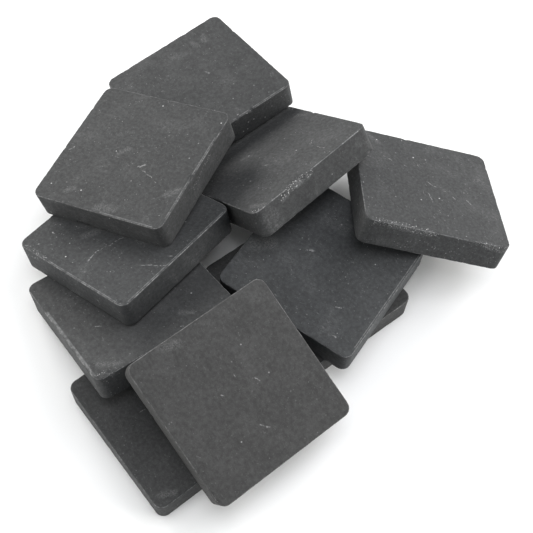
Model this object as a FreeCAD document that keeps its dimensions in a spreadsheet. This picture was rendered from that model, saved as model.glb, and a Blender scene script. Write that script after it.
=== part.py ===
import FreeCAD, Part
import Sketcher
import math
import os

# A loose heap of ten pressed charcoal blocks, all cut to one size. Each block is a square slab with rounded
# upright corners and worn edges, and each lies on the floor or leans on the blocks it was let down onto.
# Units are millimetres and degrees. +Z is up, -Y is the front, and the heap stands on Z = 0.

SIZES = {
    "block_side": 50.0,
    "block_thickness": 10.0,
    "corner_radius": 3.0,
    "edge_wear": 0.4,
    "rest_gap": 0.05,
}

# How each block lies, in the order the blocks were laid down, lowest first.
# x and y place its centre, turn spins it flat, then lean tips it over towards the compass angle "towards".
LAYOUT = {
    "base_block": {"x": 24.0, "y": -5.5, "turn": -47, "lean": 0, "towards": 0},
    "front_base_block": {"x": -12.5, "y": -50.5, "turn": -46, "lean": 0, "towards": 0},
    "lower_left_block": {"x": -32.0, "y": -20.5, "turn": -48.5, "lean": 17, "towards": 126},
    "centre_block": {"x": 28.5, "y": -2.0, "turn": -28.5, "lean": 0, "towards": 0},
    "right_block": {"x": 60.5, "y": 28.0, "turn": -86, "lean": 24, "towards": 58},
    "propped_block": {"x": 9.0, "y": 33.0, "turn": -42, "lean": 36.5, "towards": 142},
    "back_block": {"x": -21.5, "y": 67.5, "turn": -48.5, "lean": 12.5, "towards": 160},
    "upper_left_block": {"x": -36.5, "y": 1.0, "turn": -33, "lean": 17, "towards": 132},
    "top_block": {"x": -36.5, "y": 24.0, "turn": -19.5, "lean": 15, "towards": 159},
    "front_leaning_block": {"x": 6.0, "y": -49.5, "turn": -46, "lean": 21, "towards": -46},
}

# A block is let down from the first height, and its resting height is found to within the second.
DROP_FROM = 120.0
HEIGHT_STEP = 0.005


def make_sheet(doc):
    """Writes every driving size and the whole layout into the spreadsheet, one alias to a row."""
    sheet = doc.addObject("Spreadsheet::Sheet", "Sizes")
    values = dict(SIZES)
    for name, place in LAYOUT.items():
        for key, value in place.items():
            values[name + "_" + key] = value
    for row, (alias, value) in enumerate(values.items(), start=1):
        sheet.set(f"A{row}", alias)
        sheet.set(f"B{row}", str(value))
        sheet.setAlias(f"B{row}", alias)
    doc.recompute()
    return sheet


def origin_plane(body, role):
    """The body's own origin plane with this role."""
    return next(f for f in body.Origin.OriginFeatures if f.Role == role)


def draw_square(body, name):
    """A square sketch of block_side, centred on the body's origin."""
    sketch = body.newObject("Sketcher::SketchObject", name)
    sketch.AttachmentSupport = [(origin_plane(body, "XY_Plane"), "")]
    sketch.MapMode = "FlatFace"
    half = SIZES["block_side"] / 2
    corners = [(-half, -half), (half, -half), (half, half), (-half, half)]
    for k, (x, y) in enumerate(corners):
        x2, y2 = corners[(k + 1) % 4]
        sketch.addGeometry(Part.LineSegment(FreeCAD.Vector(x, y, 0), FreeCAD.Vector(x2, y2, 0)))
    for k in range(4):
        sketch.addConstraint(Sketcher.Constraint("Coincident", k, 2, (k + 1) % 4, 1))
    for k in (0, 2):
        sketch.addConstraint(Sketcher.Constraint("Horizontal", k))
        sketch.addConstraint(Sketcher.Constraint("Vertical", k + 1))
    sketch.addConstraint(Sketcher.Constraint("Symmetric", 0, 1, 1, 2, -1, 1))
    for line, alias in ((0, "width"), (1, "depth")):
        number = sketch.addConstraint(Sketcher.Constraint("Distance", line, SIZES["block_side"]))
        sketch.renameConstraint(number, alias)
        sketch.setExpression(f"Constraints.{alias}", "Sizes.block_side")
    return sketch


def edge_names(shape, wanted):
    """Names of the edges of a shape for which wanted(edge) is true."""
    return [f"Edge{k}" for k, edge in enumerate(shape.Edges, start=1) if wanted(edge)]


def is_upright(edge):
    """True for a straight edge along Z."""
    return edge.Curve.TypeId == "Part::GeomLine" and abs(edge.tangentAt(edge.FirstParameter).z) > 0.99


def is_outline(edge):
    """True for an edge that runs around the top or the bottom face."""
    return edge.BoundBox.ZLength < 1e-6


def round_edges(body, name, base, wanted, alias):
    """A fillet on the edges of the base feature that wanted picks, with its radius from the sheet."""
    fillet = body.newObject("PartDesign::Fillet", name)
    fillet.Base = (base, edge_names(base.Shape, wanted))
    fillet.Radius = SIZES[alias]
    fillet.setExpression("Radius", f"Sizes.{alias}")
    body.Document.recompute()
    return fillet


def make_block(doc, label):
    """One charcoal block, drawn lying flat with its middle at the body's origin."""
    body = doc.addObject("PartDesign::Body", label)
    body.Label = label
    sketch = draw_square(body, label + "_outline")
    pad = body.newObject("PartDesign::Pad", label + "_slab")
    pad.Profile = sketch
    pad.Midplane = True
    pad.setExpression("Length", "Sizes.block_thickness")
    doc.recompute()
    corners = round_edges(body, label + "_corners", pad, is_upright, "corner_radius")
    round_edges(body, label + "_worn_edges", corners, is_outline, "edge_wear")
    return body


def layout_of(sheet, label):
    """How the named block lies, read back from the spreadsheet."""
    return {key: float(sheet.get(f"{label}_{key}")) for key in LAYOUT[label]}


def lie(place, height):
    """Where a block lies: spun by its turn, tipped over by its lean, with its centre at this height."""
    angle = math.radians(place["towards"])
    hinge = FreeCAD.Vector(-math.sin(angle), math.cos(angle), 0)
    spin = FreeCAD.Rotation(FreeCAD.Vector(0, 0, 1), place["turn"])
    tip = FreeCAD.Rotation(hinge, place["lean"])
    return FreeCAD.Placement(FreeCAD.Vector(place["x"], place["y"], height), tip * spin)


def posed(shape, placement):
    """A copy of a shape at this placement."""
    copy = shape.copy()
    copy.Placement = placement
    return copy


def is_clear(shape, others, gap):
    """True if the shape keeps this gap to every other shape."""
    reach = FreeCAD.BoundBox(shape.BoundBox)
    reach.enlarge(gap)
    near = [other for other in others if reach.intersect(other.BoundBox)]
    return all(shape.distToShape(other)[0] >= gap for other in near)


def let_down(shape, place, laid, gap):
    """Lowers a block until it just clears the floor and the laid blocks, and returns where it then lies."""
    low = -posed(shape, lie(place, 0)).BoundBox.ZMin
    if is_clear(posed(shape, lie(place, low)), laid, gap):
        return lie(place, low)
    high = DROP_FROM
    while high - low > HEIGHT_STEP:
        middle = (low + high) / 2
        if is_clear(posed(shape, lie(place, middle)), laid, gap):
            high = middle
        else:
            low = middle
    return lie(place, high)


def lay_heap(bodies, sheet):
    """Lays the blocks one after another, then puts the middle of the heap's footprint over the origin."""
    laid = []
    for body in bodies:
        place = layout_of(sheet, body.Label)
        upright = posed(body.Tip.Shape, FreeCAD.Placement())
        body.Placement = let_down(upright, place, laid, sheet.get("rest_gap"))
        laid.append(posed(upright, body.Placement))
    box = Part.makeCompound(laid).BoundBox
    for body in bodies:
        spot = body.Placement
        spot.Base = spot.Base - FreeCAD.Vector(box.Center.x, box.Center.y, box.ZMin)
        body.Placement = spot


def check(doc):
    """Stops the macro if a feature failed or a shape is not a sound solid."""
    for obj in doc.Objects:
        if "Invalid" in obj.State or "Error" in obj.State:
            raise RuntimeError(f"{obj.Label} did not build")
        shape = getattr(obj, "Shape", None)
        if shape is not None and (shape.isNull() or not shape.isValid()):
            raise RuntimeError(f"{obj.Label} has no valid shape")


def main():
    doc = FreeCAD.newDocument("charcoal_block_heap")
    sheet = make_sheet(doc)
    bodies = [make_block(doc, label) for label in LAYOUT]
    lay_heap(bodies, sheet)
    doc.recompute()
    check(doc)
    os.makedirs("parts", exist_ok=True)
    for body in bodies:
        body.Shape.exportStep(f"parts/{body.Label}.step")
        print(body.Label, [round(v, 2) for v in body.Placement.Base])


main()
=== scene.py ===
import math

import bpy
import numpy as np
from mathutils import Matrix, Vector, noise


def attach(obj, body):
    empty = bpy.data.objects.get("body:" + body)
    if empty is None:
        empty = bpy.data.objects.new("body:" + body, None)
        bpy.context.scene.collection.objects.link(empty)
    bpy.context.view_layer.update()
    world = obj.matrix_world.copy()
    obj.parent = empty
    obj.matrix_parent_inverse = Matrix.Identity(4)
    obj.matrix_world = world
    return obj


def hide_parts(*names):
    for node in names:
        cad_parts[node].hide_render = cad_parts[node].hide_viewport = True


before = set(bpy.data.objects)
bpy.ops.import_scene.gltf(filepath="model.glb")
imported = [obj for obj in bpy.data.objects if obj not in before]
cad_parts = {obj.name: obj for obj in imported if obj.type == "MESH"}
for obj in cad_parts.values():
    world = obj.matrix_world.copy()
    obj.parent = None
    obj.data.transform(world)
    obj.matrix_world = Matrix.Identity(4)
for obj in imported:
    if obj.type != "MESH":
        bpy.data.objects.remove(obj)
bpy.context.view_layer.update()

# A loose heap of ten square blocks of pressed charcoal on a white table.
# Lengths in this file are in millimetres and become metres only where a mesh,
# lamp or camera is made.
MM = 0.001

# The block's corners, as in the CAD, and how far its edges have worn.
CORNER_RADIUS = 3.0
EDGE_WEAR = 0.4
# How deep the wear goes: slight hollows, ragged edges and nicks, and how far the last two
# reach in from an edge.
HOLLOW_DEPTH = 0.03
RAGGED_DEPTH = 0.16
RAGGED_REACH = 0.5
NICK_DEPTH = 1.2
NICK_REACH = 0.8
# Mesh lines in from each edge, then evenly spaced ones to the middle.
NEAR_EDGE = (0.0, 0.12, 0.27, 0.45, 0.68, 0.98, 1.35, 1.8, 2.35, 3.0)
MIDDLE_STEP = 0.5
# The side of a block whose x axis is told from the three others: it faces nearest this way.
FRONT_RIGHT = Vector((1.0, -1.0, 0.0)).normalized()

# The faces that marks lie on, as points in millimetres from the block's centre. On the top, u
# and v are the block's x and y; on the two sides, u runs along the side and v upwards.
ON = {
    "top": lambda u, v: (u, v, 5.0),
    "right": lambda u, v: (25.0, u, v),
    "left": lambda u, v: (u, -25.0, v),
}
# Marks with a half width below this are thin scratches; the others are patches of dust.
FINE_MARK = 0.5
# How strongly each kind shows, from 0 to 1.
FINE_STRENGTH = 0.60
PATCH_STRENGTH = 0.32

# How each block differs: the seed of its grain, the tone and warmth of its grey, how dusty
# it is, how pale its worn edges are, and its own marks. A mark is a face, two ends and a half width.
BLOCKS = {
    "base_block": dict(seed=1, tone=1.0, warmth=0.0, dust=0.5, worn=1.0, marks=[
        ("top", (20, 8), (21, 12), 1.2)]),
    "front_base_block": dict(seed=2, tone=1.0, warmth=-0.3, dust=0.4, worn=0.8, marks=[
        ("top", (-4, -12), (-3, -7), 0.28),
        ("top", (21, -22), (23, -18), 1.5)]),
    "lower_left_block": dict(seed=3, tone=1.05, warmth=-0.4, dust=0.7, worn=1.0, marks=[
        ("top", (5, -15.5), (6.5, -13.5), 0.28),
        ("top", (7.8, -12), (7.8, -12), 0.28),
        ("top", (18, 8.5), (20.5, 11.5), 1.4),
        ("top", (19.5, -21), (23, -16), 1.8)]),
    "centre_block": dict(seed=4, tone=1.05, warmth=-0.9, dust=0.8, worn=0.9, marks=[
        ("top", (-22, -8), (-18, -4), 3.6),
        ("top", (-6.5, 0.8), (-4.5, 2), 0.39),
        ("top", (-3, 15), (-2.5, 15), 0.33),
        ("top", (12.2, -11.6), (13.6, -11), 0.33),
        ("top", (16, -20.6), (17.6, -20.2), 0.33)]),
    "right_block": dict(seed=5, tone=1.0, warmth=-0.5, dust=1.0, worn=1.1, marks=[
        ("top", (-23, -20), (-19, -16), 1.6),
        ("top", (-11.5, -15), (-10, -12.5), 0.33),
        ("top", (-9, -8.5), (-8, -7), 0.28),
        ("top", (10.3, -13.1), (10.3, -13.1), 0.41),
        ("top", (-2, -0.4), (0, 2.5), 0.33),
        ("top", (4.1, -0.6), (9.2, -0.2), 0.28),
        ("top", (3.5, 8), (4.5, 9), 0.33),
        ("top", (4, 13), (6.5, 15), 0.28),
        ("top", (-11.5, 7.5), (-10.5, 9), 0.33),
        ("right", (-16, 4.2), (-3, 4.2), 1.7),
        ("right", (17, 3.8), (23, 3.4), 1.8)]),
    "propped_block": dict(seed=6, tone=1.0, warmth=-0.5, dust=1.0, worn=1.2, marks=[
        ("top", (-9.5, -5.5), (-7.5, -3), 1.5),
        ("top", (3, -5.5), (5, -4), 0.33),
        ("top", (3, -17.5), (6, -15.5), 0.33),
        ("top", (10.5, 12), (13, 9.5), 0.28),
        ("top", (13, 9.5), (20, 10), 0.28),
        ("top", (-10, 21), (-7, 23), 1.8),
        ("top", (20, -22), (24, -20), 1.6),
        ("right", (-14, 2.5), (-11, 3.2), 1.2),
        ("right", (-8, 4), (-2, 3.6), 1.8),
        ("right", (5.7, -1.7), (6, -1.5), 0.33)]),
    "back_block": dict(seed=7, tone=1.0, warmth=-0.5, dust=0.8, worn=0.8, marks=[
        ("top", (-19, 15), (-16, 14), 1.6),
        ("top", (-18.5, 10), (-16, 10.5), 1.4),
        ("top", (-2.4, 5.2), (-0.4, 6.4), 0.39),
        ("top", (-5.8, -11.6), (-5.8, -11.6), 0.28),
        ("top", (23.4, 2.2), (23.6, 2.6), 0.33)]),
    "upper_left_block": dict(seed=8, tone=1.0, warmth=-0.7, dust=1.0, worn=1.2, marks=[
        ("top", (1.5, -17.5), (1, -15.5), 0.44),
        ("top", (1, -15.5), (0.5, -12.5), 0.33),
        ("top", (0.8, -12.6), (3.8, -3.5), 0.22),
        ("top", (17, -9.5), (24, -5.2), 0.28),
        ("top", (22.3, -2), (23, -1), 0.33),
        ("top", (-8, -10), (-6, -7), 2.2),
        ("left", (10.5, 0.5), (12, 0.2), 0.28),
        ("left", (12, 0.2), (12.2, -1.8), 0.28)]),
    "top_block": dict(seed=9, tone=1.0, warmth=-0.4, dust=0.9, worn=0.9, marks=[
        ("top", (-4.5, -1), (-2, 1.5), 1.6),
        ("top", (5, -4.2), (7, -3), 0.44),
        ("top", (7, -5), (14, -8.2), 0.25),
        ("top", (-23, -4.5), (-21.5, -3), 0.33),
        ("top", (20, -12), (23.5, -8.5), 1.8),
        ("top", (-14, -20), (-12, -18.5), 1.6),
        ("top", (0, -23), (6, -22), 2.2),
        ("top", (-19.3, -21.5), (-19.3, -21.5), 0.33)]),
    "front_leaning_block": dict(seed=10, tone=1.2, warmth=0.1, dust=0.4, worn=0.7, marks=[
        ("top", (-24, -13), (-22, -8), 2.2),
        ("top", (-9, -1.6), (-8.5, -1.6), 0.28),
        ("top", (-5, 0.5), (-4.6, 0.6), 0.28),
        ("top", (-1, 4.6), (1, 6.2), 0.25),
        ("top", (-2.2, -6.4), (-1.4, -5.6), 0.33),
        ("top", (11.5, -1.5), (14, 0.5), 0.33),
        ("top", (7.8, -22), (8.6, -21.5), 0.33)]),
}

# What clings along edges: a face, two ends and a half width. Those with a half width below
# THIN_TRAIL are pale worn lines; the others are trails of white crumbs.
THIN_TRAIL = 0.65
CRUMBS = {
    "right_block": [("right", (-22, 4.6), (-1, 4.2), 1.6), ("top", (23.6, -22), (24.2, -4), 0.9),
                    ("right", (14, 4.4), (23.5, 3.6), 1.7), ("right", (0, 4.8), (12, 4.6), 0.25)],
    "propped_block": [("right", (-14, 3.8), (-1, 4.2), 1.5), ("top", (24, -12), (24.4, -2), 0.9),
                      ("top", (22, -24.2), (24, -22.5), 0.9), ("right", (0, 4.8), (21, 4.8), 0.25),
                      ("top", (-22, 24), (-16, 24), 0.9)],
    "top_block": [("top", (24.4, -20), (24.4, 14), 0.25), ("top", (2, -24.4), (22, -24.4), 0.25),
                  ("right", (-4, 1), (8, 3), 1.1)],
    "upper_left_block": [("top", (-22, -24), (-12, -24), 0.9), ("left", (-22, 2), (-16, 3), 1.3),
                         ("top", (24.3, -22), (24.3, 22), 0.25), ("top", (-10, -24.4), (22, -24.4), 0.25)],
    "lower_left_block": [("top", (-10, -24.3), (22, -24.3), 0.6), ("top", (22, -24), (24, -18), 0.8)],
    "back_block": [("top", (24.3, 0), (24.3, 22), 0.25), ("right", (-20, 2), (-8, 3), 1.0)],
    "centre_block": [("top", (24.3, -20), (24.3, 20), 0.25)],
}

# Chips broken out of edges: centre, radius and depth, in millimetres from the block's centre.
CHIPS = {
    "propped_block": [((25, -8, 5.2), 2.0, 0.5), ((25, -5, 5), 2.4, 0.7), ((25, -2.2, 5.2), 1.8, 0.4),
                      ((25, 22, -5), 1.8, 0.5)],
    "back_block": [((25, 7.4, 5), 1.1, 0.6), ((25, 1.5, 5), 0.9, 0.4), ((25, -3, 5), 1.2, 0.4)],
    "top_block": [((25, -3.4, 5), 1.3, 0.5), ((25, 17, 5), 1.0, 0.5), ((25, 12, 5), 0.8, 0.3),
                  ((-9, -25, -5), 2.0, 0.6), ((-6, -25, -5), 1.5, 0.5)],
    "right_block": [((25, -10, 5.2), 1.6, 0.4), ((25, -6.5, 5.2), 1.3, 0.4), ((25, 21, 5.2), 1.6, 0.4)],
    "front_leaning_block": [((20.2, -25, 5), 1.3, 0.6), ((22.5, -25, 5), 1.0, 0.4)],
    "lower_left_block": [((25, -20, 5), 1.5, 0.5), ((19, -25, 5), 1.2, 0.4)],
    "upper_left_block": [((-2, -25, 5), 1.0, 0.3), ((22.5, -24, 5), 1.0, 0.3)],
}


# ---- the blocks' shape ----------------------------------------------------

def mesh_lines(half):
    """Where the mesh has lines along one side of a block, from -half to half."""
    count = max(1, round((half - NEAR_EDGE[-1]) / MIDDLE_STEP))
    inner = np.linspace(NEAR_EDGE[-1], half, count + 1)[1:]
    offsets = np.concatenate([NEAR_EDGE, inner])
    return np.concatenate([offsets - half, half - offsets[-2::-1]])


def box_skin(lines):
    """The points and four-sided faces of a box's skin, divided at the given lines."""
    number = {}

    def point(*place):
        return number.setdefault(place, len(number))

    faces = []
    cells = [len(line) - 1 for line in lines]
    for axis in range(3):
        u, v = (axis + 1) % 3, (axis + 2) % 3
        for end in (0, cells[axis]):
            for i in range(cells[u]):
                for j in range(cells[v]):
                    ring = []
                    for du, dv in ((0, 0), (1, 0), (1, 1), (0, 1)):
                        place = [0, 0, 0]
                        place[axis] = end
                        place[u] = i + du
                        place[v] = j + dv
                        ring.append(point(*place))
                    faces.append(ring if end else ring[::-1])
    places = np.array(list(number))
    points = np.column_stack([lines[a][places[:, a]] for a in range(3)])
    return points, faces


def soften(points, half):
    """Moves a sharp box's points on to a block with round corners and worn edges.

    Returns the points, the way each one faces, and its distance from the nearest edge."""
    core = half[:2] - CORNER_RADIUS
    side = np.sign(points)
    past = np.maximum(np.abs(points[:, :2]) - core, 0)
    reach = past.max(axis=1)
    length = np.maximum(np.hypot(past[:, 0], past[:, 1]), 1e-9)
    way = past / length[:, None] * side[:, :2]
    inset = CORNER_RADIUS - reach
    drop = half[2] - np.abs(points[:, 2])
    edge_distance = np.maximum(inset, drop)
    angle = np.pi / 4 * (1 + np.minimum(inset / EDGE_WEAR, 1) - np.minimum(drop / EDGE_WEAR, 1))
    inset = np.where(inset > EDGE_WEAR, inset, EDGE_WEAR * (1 - np.cos(angle)))
    drop = np.where(drop > EDGE_WEAR, drop, EDGE_WEAR * (1 - np.sin(angle)))
    moved = points.copy()
    moved[:, :2] = np.clip(points[:, :2], -core, core) + way * (CORNER_RADIUS - inset)[:, None]
    moved[:, 2] = side[:, 2] * (half[2] - drop)
    facing = np.column_stack([way * np.cos(angle)[:, None], side[:, 2] * np.sin(angle)])
    return moved, facing, edge_distance


def crumble(point, edge_distance, shift, chips):
    """How much charcoal is missing at a point: slight hollows, a ragged edge and chips."""
    spot = Vector(point)
    place = spot + shift
    hollow = HOLLOW_DEPTH * (1 + noise.noise(place / 14))
    if edge_distance > 6:
        return hollow
    rough = noise.fractal(place / 1.6, 0.9, 2.1, 3)
    ragged = RAGGED_DEPTH * max(0.0, rough + 0.05) * math.exp(-edge_distance / RAGGED_REACH)
    nicks = max(0.0, noise.noise(place / 3.1 + Vector((7, 3, 5))) - 0.42)
    nicks *= NICK_DEPTH * math.exp(-edge_distance / NICK_REACH)
    broken = 0.0
    for centre, radius, depth in chips:
        near = (spot - Vector(centre)).length / radius
        if near < 1:
            broken = max(broken, depth * (1 - near * near) * (1 + 0.8 * rough))
    return hollow + ragged + nicks + broken


def block_axes(node):
    """A CAD block's centre, half sizes and turn, measured from its mesh: z is its upper face,
    x the side that faces front right."""
    mesh = node.data
    sides = sorted(mesh.polygons, key=lambda p: -p.area)
    up = sides[0].normal.copy()
    if up.z < 0:
        up.negate()
    upright = [p.normal for p in sides if abs(p.normal.dot(up)) < 1e-3]
    across = max(upright[:8], key=lambda n: n.dot(FRONT_RIGHT))
    across = (across - across.dot(up) * up).normalized()
    turn = Matrix((across, up.cross(across), up)).transposed()
    points = np.array([v.co for v in mesh.vertices]) @ np.array(turn)
    low, high = points.min(axis=0), points.max(axis=0)
    centre = turn @ Vector((low + high) / 2)
    return centre, (high - low) / 2 / MM, turn


def make_block(name, node, seed):
    """One charcoal block in the CAD block's place, with its own wear."""
    centre, half, turn = block_axes(node)
    points, faces = box_skin([mesh_lines(h) for h in half])
    points, facing, edge_distance = soften(points, half)
    shift = Vector((31.7, -17.3, 11.9)) * seed
    chips = CHIPS.get(node.name, ())
    lost = np.array([crumble(p, e, shift, chips) for p, e in zip(points, edge_distance)])
    points = points - facing * lost[:, None]
    mesh = bpy.data.meshes.new(name)
    mesh.from_pydata((points * MM).tolist(), [], faces)
    mesh.polygons.foreach_set("use_smooth", [True] * len(faces))
    rim = np.clip(1 - edge_distance / 1.5, 0, 1)
    for label, values in (("rim", rim), ("lost", lost)):
        mesh.attributes.new(label, "FLOAT", "POINT").data.foreach_set("value", values)
    piece = bpy.data.objects.new(name, mesh)
    bpy.context.scene.collection.objects.link(piece)
    piece.matrix_world = Matrix.Translation(centre) @ turn.to_4x4()
    return piece


# ---- materials --------------------------------------------------------------

# Levels of grey, as linear reflectance: the charcoal's darkest and lightest, dust and crumbs.
DARKEST = 0.025
LIGHTEST = 0.039
CHALK = 0.30
CRUMB_WHITE = 0.70


class Nodes:
    """Short calls for building one material's node tree."""

    def __init__(self, name):
        self.material = bpy.data.materials.new(name)
        self.material.use_nodes = True
        self.tree = self.material.node_tree
        self.shader = self.tree.nodes["Principled BSDF"]

    def put(self, socket, value):
        if isinstance(value, bpy.types.NodeSocket):
            self.tree.links.new(value, socket)
        else:
            socket.default_value = value

    def add(self, kind, settings=None, **inputs):
        node = self.tree.nodes.new("ShaderNode" + kind)
        for key, value in (settings or {}).items():
            setattr(node, key, value)
        for key, value in inputs.items():
            self.put(node.inputs[key.replace("_", " ")], value)
        return node

    def maths(self, operation, a, b=0.0):
        node = self.add("Math", dict(operation=operation))
        self.put(node.inputs[0], a)
        self.put(node.inputs[1], b)
        return node.outputs[0]

    def band(self, value, low, high, to_low=0.0, to_high=1.0):
        """value's part between low and high, drawn out smoothly from to_low to to_high."""
        node = self.add("MapRange", dict(interpolation_type="SMOOTHSTEP"), Value=value)
        for key, number in (("From Min", low), ("From Max", high),
                            ("To Min", to_low), ("To Max", to_high)):
            node.inputs[key].default_value = number
        return node.outputs["Result"]

    def cloud(self, place, scale, detail=2.0, distortion=0.0):
        """Soft noise with about scale bumps in a millimetre."""
        return self.add("TexNoise", Vector=place, Scale=scale, Detail=detail,
                        Distortion=distortion).outputs["Fac"]

    def blend(self, amount, a, b):
        node = self.add("Mix", dict(data_type="RGBA"))
        self.put(node.inputs[0], amount)
        self.put(node.inputs[6], a)
        self.put(node.inputs[7], b)
        return node.outputs[2]

    def vector(self, operation, a, b):
        node = self.add("VectorMath", dict(operation=operation))
        self.put(node.inputs[0], a)
        self.put(node.inputs[1], b)
        return node.outputs[0]

    def scaled(self, place, by, plus):
        """place times by, plus an offset."""
        node = self.add("VectorMath", dict(operation="MULTIPLY_ADD"))
        self.put(node.inputs[0], place)
        self.put(node.inputs[1], by)
        self.put(node.inputs[2], plus)
        return node.outputs[0]

    def moved(self, place, turn=(0, 0, 0), stretch=(1, 1, 1)):
        node = self.add("Mapping", Vector=place)
        node.inputs["Rotation"].default_value = turn
        node.inputs["Scale"].default_value = stretch
        return node.outputs[0]


def grey(level, warmth):
    """A near-grey colour, a little brown where warmth is above 0 and blue where it is below."""
    return (level * (1 + 0.06 * warmth), level, level * (1 - 0.06 * warmth), 1)


def specks(n, place, scale, size, rarity):
    """Small bright dots, one in each cell: mostly faint, and the rarer the fewer bright ones."""
    cell = n.add("TexVoronoi", Vector=place, Scale=scale)
    dot = n.band(cell.outputs["Distance"], size, size * 0.3)
    chance = n.add("SeparateColor", Color=cell.outputs["Color"]).outputs[0]
    return n.maths("MULTIPLY", dot, n.maths("POWER", chance, rarity))


def scratches(n, place, turn, rarity):
    """Short fine lines that bend a little, all lying roughly one way."""
    bend = n.add("TexNoise", Vector=place, Scale=0.35, Detail=1.0).outputs["Color"]
    bent = n.scaled(bend, (2.2,) * 3, place)
    return specks(n, n.moved(bent, (0, 0, turn), (0.24, 2.2, 2.2)), 1.0, 0.3, rarity)


def mark(n, place, start, end, width):
    """A chalky line or patch from start to end on the block's skin, fading out at its width."""
    start, end = Vector(start), Vector(end)
    along = end - start
    offset = n.vector("SUBTRACT", place, start)
    share = n.add("VectorMath", dict(operation="DOT_PRODUCT"))
    n.put(share.inputs[0], offset)
    n.put(share.inputs[1], along / max(along.length_squared, 1e-6))
    share = n.add("Clamp", Value=share.outputs["Value"]).outputs[0]
    nearest = n.add("VectorMath", dict(operation="SCALE"), Scale=share)
    n.put(nearest.inputs[0], along)
    gap = n.add("VectorMath", dict(operation="DISTANCE"))
    n.put(gap.inputs[0], offset)
    n.put(gap.inputs[1], nearest.outputs[0])
    return n.band(gap.outputs["Value"], width, width * 0.25)


def placed_marks(n, place, local, marks):
    """The block's own marks: thin ones bright and nearly whole, wide ones faint and crumbly."""
    bend = n.add("TexNoise", Vector=place, Scale=0.5, Detail=2.0).outputs["Color"]
    bent = n.scaled(bend, (1.6,) * 3, n.vector("SUBTRACT", local, (0.8,) * 3))
    broken = n.band(n.cloud(place, 2.4, 5, 1.2), 0.34, 0.80)
    whole = n.band(n.cloud(place, 1.3, 3), 0.38, 0.58, 0.1, 1.0)
    total = None
    for face, (u0, v0), (u1, v1), width in marks:
        start, end = ON[face](u0, v0), ON[face](u1, v1)
        fine = width < FINE_MARK
        shape = n.maths("MULTIPLY", mark(n, bent, start, end, width), whole if fine else broken)
        shape = n.maths("MULTIPLY", shape, FINE_STRENGTH if fine else PATCH_STRENGTH)
        total = shape if total is None else n.maths("MAXIMUM", total, shape)
    return total


def placed_crumbs(n, place, local, crumbs):
    """What lies along the block's edges: pale worn lines, and wider trails of white crumbs."""
    bend = n.add("TexNoise", Vector=place, Scale=0.7, Detail=2.0).outputs["Color"]
    bent = n.scaled(bend, (1.4,) * 3, n.vector("SUBTRACT", local, (0.7,) * 3))
    worn_line = n.band(n.cloud(place, 0.8, 3), 0.34, 0.66, 0.05, 0.17)
    crumbly = specks(n, place, 1.9, 0.45, 2.5)
    total = 0.0
    for face, (u0, v0), (u1, v1), width in crumbs:
        fine = width < THIN_TRAIL
        trail = mark(n, local if fine else bent, ON[face](u0, v0), ON[face](u1, v1), width)
        total = n.maths("MAXIMUM", total, n.maths("MULTIPLY", trail, worn_line if fine else crumbly))
    return total


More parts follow.
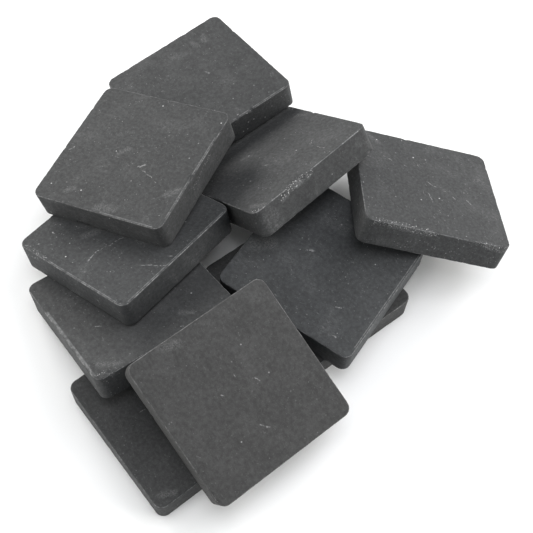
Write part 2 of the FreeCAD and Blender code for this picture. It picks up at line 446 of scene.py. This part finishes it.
def charcoal(name, seed, tone, warmth, dust, worn, marks, edge_crumbs):
    """Matt pressed charcoal: mottled dark grey, fine grain, pale worn edges, specks and scuffs.

    place shifts with the seed, so each block has its own grain; local is the block's own place."""
    n = Nodes(name)
    where = n.add("TexCoord").outputs["Object"]
    local = n.scaled(where, (1 / MM,) * 3, (0, 0, 0))
    place = n.scaled(where, (1 / MM,) * 3, (31.7 * seed, -17.3 * seed, 11.9 * seed))
    rim = n.add("Attribute", dict(attribute_name="rim")).outputs["Fac"]
    lost = n.add("Attribute", dict(attribute_name="lost")).outputs["Fac"]

    dark = grey(DARKEST * tone, warmth)
    light = grey(LIGHTEST * tone, warmth)
    chalk = grey(CHALK, 0.0)
    white = grey(CRUMB_WHITE, 0.0)
    mottle = n.maths("ADD", n.maths("MULTIPLY", n.cloud(place, 0.10, 3), 0.25),
                     n.maths("MULTIPLY", n.cloud(place, 0.9, 4), 0.75))
    colour = n.blend(n.band(mottle, 0.25, 0.75), dark, light)
    grain = n.cloud(place, 2.7, 2)
    powder = specks(n, place, 1.7, 0.42, 3.0)
    colour = n.blend(n.maths("MULTIPLY", powder, 0.08), colour, chalk)
    colour = n.blend(n.band(grain, 0.50, 0.80, 0, 0.05), colour, chalk)

    dusty = n.maths("MULTIPLY", n.band(n.cloud(place, 0.10, 3, 0.6), 0.52, 0.76),
                    n.band(n.cloud(place, 1.4, 4, 0.8), 0.44, 0.72, 0.02, 0.20 * dust))
    edges = n.maths("MULTIPLY", n.band(rim, 0.74, 0.99),
                    n.band(n.cloud(place, 0.30, 3), 0.38, 0.64, 0.16, 0.65 * worn))
    edges = n.maths("MULTIPLY", edges, n.band(n.cloud(place, 1.6, 3), 0.36, 0.60, 0.25, 1.0))
    broken = n.maths("MULTIPLY", n.band(lost, 0.16, 0.40), n.band(grain, 0.45, 0.65, 0.0, 0.35))
    dots = n.maths("MAXIMUM", specks(n, place, 0.55, 0.16, 8.0), specks(n, place, 1.15, 0.26, 8.0))
    dots = n.maths("MULTIPLY", dots,
                   n.band(n.cloud(place, 0.16, 2), 0.40, 0.62, 0.3 * dust, 0.9 * dust))
    lines = n.maths("MAXIMUM", scratches(n, place, 0.6, 12.0), scratches(n, place, 2.2, 16.0))
    lines = n.maths("MULTIPLY", lines, n.band(n.cloud(place, 0.12, 2), 0.42, 0.62, 0.1, 0.5 * dust))
    chalky = n.maths("MAXIMUM", dusty, placed_marks(n, place, local, marks))
    for layer in (edges, broken, dots, lines):
        chalky = n.maths("MAXIMUM", chalky, layer)
    bright = n.maths("MULTIPLY", specks(n, place, 0.34, 0.12, 8.0), 0.9 * dust)
    bright = n.maths("MAXIMUM", bright, placed_crumbs(n, place, local, edge_crumbs))
    n.put(n.shader.inputs["Base Color"], n.blend(bright, n.blend(chalky, colour, chalk), white))

    n.put(n.shader.inputs["Roughness"], n.band(mottle, 0.3, 0.7, 0.80, 0.66))
    n.shader.inputs["Specular IOR Level"].default_value = 0.42
    pits = specks(n, place, 1.3, 0.3, 2.0)
    height = n.maths("SUBTRACT", n.maths("ADD", n.maths("MULTIPLY", grain, 0.8),
                                         n.maths("MULTIPLY", n.cloud(place, 1.1, 3), 0.6)), pits)
    bump = n.add("Bump", Height=height, Strength=0.5, Distance=0.06 * MM)
    n.put(n.shader.inputs["Normal"], bump.outputs[0])
    return n.material


def white_table():
    """Smooth white table top with a faint unevenness."""
    n = Nodes("white_table")
    place = n.add("TexCoord").outputs["Object"]
    n.put(n.shader.inputs["Base Color"],
          n.blend(n.cloud(place, 9.0, 3), (0.90, 0.90, 0.90, 1), (0.93, 0.93, 0.93, 1)))
    n.put(n.shader.inputs["Roughness"], n.band(n.cloud(place, 20.0, 2), 0.3, 0.7, 0.75, 0.9))
    n.shader.inputs["Specular IOR Level"].default_value = 0.2
    return n.material


# ---- table, light and camera --------------------------------------------------

TABLE_SIZE = 6000.0
LOOK_AT = Vector((1.2, -11.9, 15.0))
CAMERA_DISTANCE = 320.7
CAMERA_AZIMUTH = math.radians(2.4)
CAMERA_ELEVATION = math.radians(62.0)
CAMERA_ROLL = math.radians(3.8)
CAMERA_VIEW = math.radians(30.6)

# The sky's strength and colour, faint and bluish, then the lamps' two colours and two powers.
SKY = 0.15
SKY_COLOUR = (0.80, 0.92, 1.0)
COOL = (0.97, 0.975, 1.0)
WARM = (1.0, 0.985, 0.955)
SOFT = 2.5
STRONG = 5.0
# Each softbox: azimuth from the front towards the right, elevation, power in watts and colour.
SOFTBOXES = {
    "top_box": dict(azimuth=0, elevation=88, power=SOFT, colour=COOL),
    "right_box": dict(azimuth=90, elevation=20, power=STRONG, colour=WARM),
    "back_right_box": dict(azimuth=135, elevation=20, power=SOFT, colour=WARM),
    "back_right_high_box": dict(azimuth=135, elevation=50, power=SOFT, colour=COOL),
    "back_left_box": dict(azimuth=225, elevation=20, power=STRONG, colour=WARM),
    "left_box": dict(azimuth=270, elevation=20, power=SOFT, colour=WARM),
    "front_left_box": dict(azimuth=315, elevation=20, power=SOFT, colour=WARM),
}
BOX_SIZE = 500.0
BOX_DISTANCE = 800.0


def towards(azimuth, elevation):
    """A unit vector at that azimuth from the front, anticlockwise from above, and elevation."""
    return Vector((math.sin(azimuth) * math.cos(elevation),
                   -math.cos(azimuth) * math.cos(elevation), math.sin(elevation)))


def make_table():
    """A plain floor, large enough to fill the view from any side."""
    half = TABLE_SIZE / 2 * MM
    mesh = bpy.data.meshes.new("table_top")
    corners = [(-half, -half, 0), (half, -half, 0), (half, half, 0), (-half, half, 0)]
    mesh.from_pydata(corners, [], [(0, 1, 2, 3)])
    mesh.materials.append(white_table())
    table = bpy.data.objects.new("table_top", mesh)
    bpy.context.scene.collection.objects.link(table)


def make_softbox(name, azimuth, elevation, power, colour):
    """A square softbox that faces the heap and is itself out of sight."""
    lamp = bpy.data.lights.new(name, "AREA")
    lamp.size = BOX_SIZE * MM
    lamp.energy = power
    lamp.color = colour
    box = bpy.data.objects.new(name, lamp)
    bpy.context.scene.collection.objects.link(box)
    box.visible_camera = False
    back = towards(math.radians(azimuth), math.radians(elevation))
    box.matrix_world = (Matrix.Translation((LOOK_AT + back * BOX_DISTANCE) * MM)
                        @ back.to_track_quat("Z", "Y").to_matrix().to_4x4())


def make_light():
    """A faint even sky and the softboxes."""
    world = bpy.data.worlds.new("studio")
    world.use_nodes = True
    sky = world.node_tree.nodes["Background"]
    sky.inputs["Color"].default_value = (*SKY_COLOUR, 1)
    sky.inputs["Strength"].default_value = SKY
    bpy.context.scene.world = world
    for name, facts in SOFTBOXES.items():
        make_softbox(name, **facts)
    bpy.context.scene.view_settings.view_transform = "Standard"


def make_camera():
    """The camera, above the front of the heap and turned slightly about its own axis."""
    back = towards(CAMERA_AZIMUTH, CAMERA_ELEVATION)
    level = Vector((math.cos(CAMERA_AZIMUTH), math.sin(CAMERA_AZIMUTH), 0))
    right = level * math.cos(CAMERA_ROLL) + back.cross(level) * math.sin(CAMERA_ROLL)
    turn = Matrix((right, back.cross(right), back)).transposed().to_4x4()
    lens = bpy.data.cameras.new("camera")
    lens.sensor_width = 36
    lens.lens = lens.sensor_width / 2 / math.tan(CAMERA_VIEW / 2)
    lens.clip_start = 0.01
    lens.clip_end = 20
    camera = bpy.data.objects.new("camera", lens)
    bpy.context.scene.collection.objects.link(camera)
    camera.matrix_world = Matrix.Translation((LOOK_AT + back * CAMERA_DISTANCE) * MM) @ turn
    bpy.context.scene.camera = camera


def main():
    """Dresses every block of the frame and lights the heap."""
    for name, facts in BLOCKS.items():
        piece = make_block("visual_" + name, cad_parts[name], facts["seed"])
        skin = charcoal("charcoal_" + name, **facts, edge_crumbs=CRUMBS.get(name, ()))
        piece.data.materials.append(skin)
        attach(piece, name)
        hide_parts(name)
    make_table()
    make_light()
    make_camera()


main()
